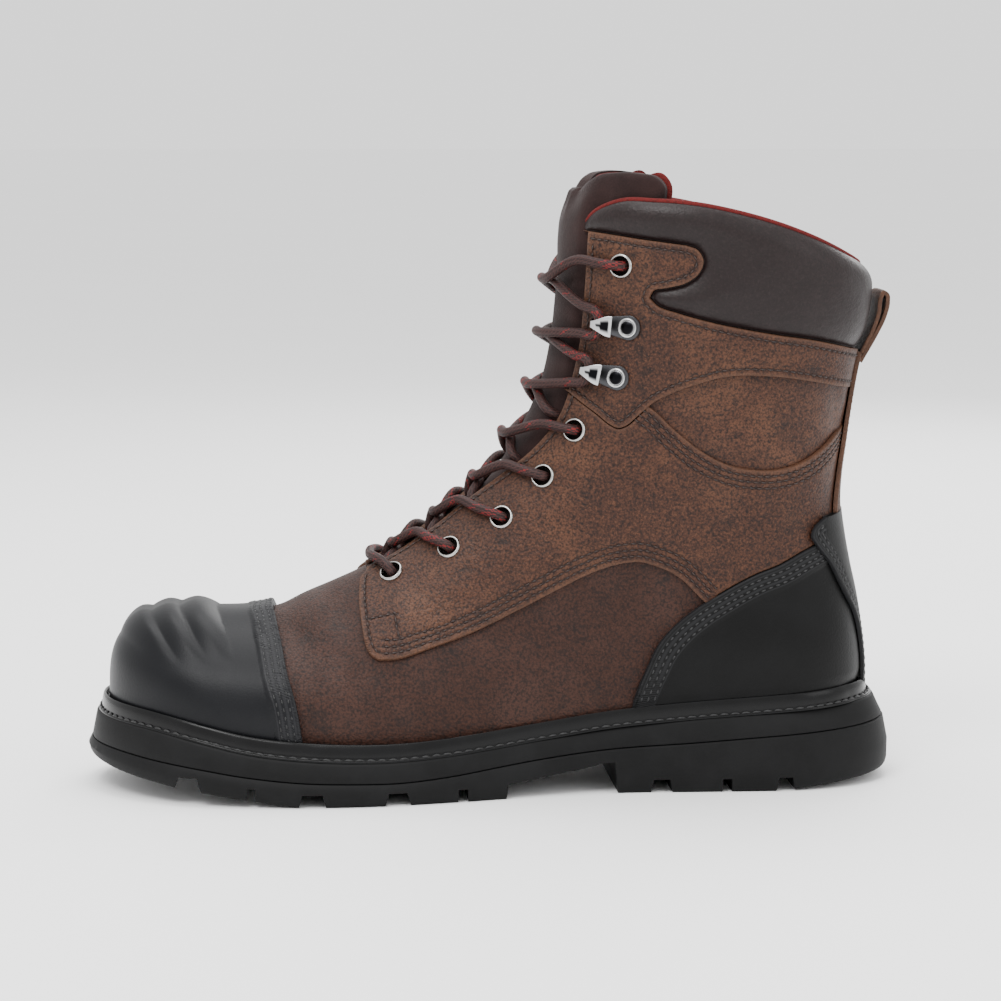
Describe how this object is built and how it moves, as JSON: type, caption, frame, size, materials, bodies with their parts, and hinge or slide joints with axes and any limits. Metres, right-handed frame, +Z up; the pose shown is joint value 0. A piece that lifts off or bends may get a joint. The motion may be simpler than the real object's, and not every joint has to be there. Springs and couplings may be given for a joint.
{
  "type": "metatarsal guard boot",
  "caption": "Lace-up leather safety work boot, above the ankle, with a capped toe, padded collar, speed hooks and a lugged rubber sole; left foot, standing empty.",
  "frame": {"origin": "on the ground under the middle of the sole, half way along and half way across the object's box", "axes": "-X towards the toe and +X towards the heel, +Y towards the wearer's inner (medial) side, +Z up"},
  "size_m": [0.315, 0.1146, 0.2371],
  "materials": {
    "sole_rubber": "matte black moulded rubber",
    "welt_rubber": "black welt with a satin rolled bead",
    "insole_fabric": "dark woven footbed cover",
    "vamp_leather": "oiled pull-up leather, dull reddish brown",
    "brown_leather": "oiled pull-up leather, mottled reddish brown",
    "collar_leather": "soft smooth dark brown padded leather",
    "black_guard": "black satin coated leather",
    "tongue_suede": "dark brown napped leather",
    "lace_braid": "round dark brown braid with red flecks",
    "eyelet_steel": "bright plated steel",
    "hook_gunmetal": "gunmetal plated steel"
  },
  "bodies": {
    "root": {"outsole": "sole_rubber", "midsole": "sole_rubber", "welt": "welt_rubber", "insole": "insole_fabric", "upper": "vamp_leather", "quarter_lateral": "brown_leather", "quarter_medial": "brown_leather", "cuff_lateral": "brown_leather", "cuff_medial": "brown_leather", "back_strip": "brown_leather", "pull_loop": "brown_leather", "collar": "collar_leather", "toe_cap": "black_guard", "heel_counter": "black_guard", "back_stay": "black_guard", "tongue": "tongue_suede", "lace_bar": "lace_braid", "lace_cross_1": "lace_braid", "lace_cross_2": "lace_braid", "lace_cross_3": "lace_braid", "lace_cross_4": "lace_braid", "lace_cross_5": "lace_braid", "lace_cross_6": "lace_braid", "lace_cross_7": "lace_braid", "eyelet_lateral_1": "eyelet_steel", "eyelet_lateral_2": "eyelet_steel", "eyelet_lateral_3": "eyelet_steel", "eyelet_lateral_4": "eyelet_steel", "eyelet_lateral_5": "eyelet_steel", "eyelet_lateral_6": "eyelet_steel", "eyelet_medial_1": "eyelet_steel", "eyelet_medial_2": "eyelet_steel", "eyelet_medial_3": "eyelet_steel", "eyelet_medial_4": "eyelet_steel", "eyelet_medial_5": "eyelet_steel", "eyelet_medial_6": "eyelet_steel", "hook_lateral_1": "hook_gunmetal", "hook_lateral_2": "hook_gunmetal", "hook_medial_1": "hook_gunmetal", "hook_medial_2": "hook_gunmetal"}
  },
  "joints": []
}
